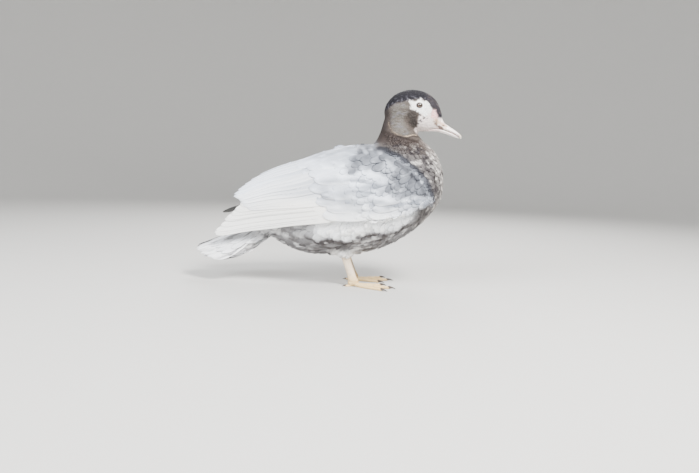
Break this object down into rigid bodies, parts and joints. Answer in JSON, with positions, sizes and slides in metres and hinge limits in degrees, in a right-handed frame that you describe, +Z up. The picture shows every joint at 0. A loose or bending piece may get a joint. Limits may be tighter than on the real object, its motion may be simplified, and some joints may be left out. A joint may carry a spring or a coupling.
{
  "type": "muscovy duck",
  "caption": "Still, life-size model of a young blue female Muscovy duck standing on both feet, head raised, wings folded and tail low.",
  "frame": {"origin": "centre of the bird's bounding box on the floor under it", "axes": "+X towards the bill, +Y to the bird's left, +Z up"},
  "size_m": [0.4867, 0.1994, 0.3586],
  "materials": {
    "plumage": "soft blue-grey body feathers",
    "neck_feathers": "short brown-grey feathers",
    "head_feathers": "short dark grey feathers with a white mask",
    "wing_feathers": "pale blue-grey to white vanes",
    "tail_feathers": "white-grey vanes",
    "bill_horn": "smooth pinkish horn and bare skin",
    "eye_glass": "wet dark eye",
    "leg_skin": "scaly cream-yellow skin",
    "claw_horn": "dark horn"
  },
  "bodies": {
    "root": {"torso": "plumage", "neck": "neck_feathers", "head": "head_feathers", "bill_upper": "bill_horn", "bill_lower": "bill_horn", "tail": "tail_feathers", "eye_left": "eye_glass", "wing_left": "wing_feathers", "thigh_left": "plumage", "shank_left": "leg_skin", "foot_left": "leg_skin", "claw_left_inner": "claw_horn", "claw_left_middle": "claw_horn", "claw_left_outer": "claw_horn", "claw_left_hind": "claw_horn", "eye_right": "eye_glass", "wing_right": "wing_feathers", "thigh_right": "plumage", "shank_right": "leg_skin", "foot_right": "leg_skin", "claw_right_inner": "claw_horn", "claw_right_middle": "claw_horn", "claw_right_outer": "claw_horn", "claw_right_hind": "claw_horn"}
  },
  "joints": []
}
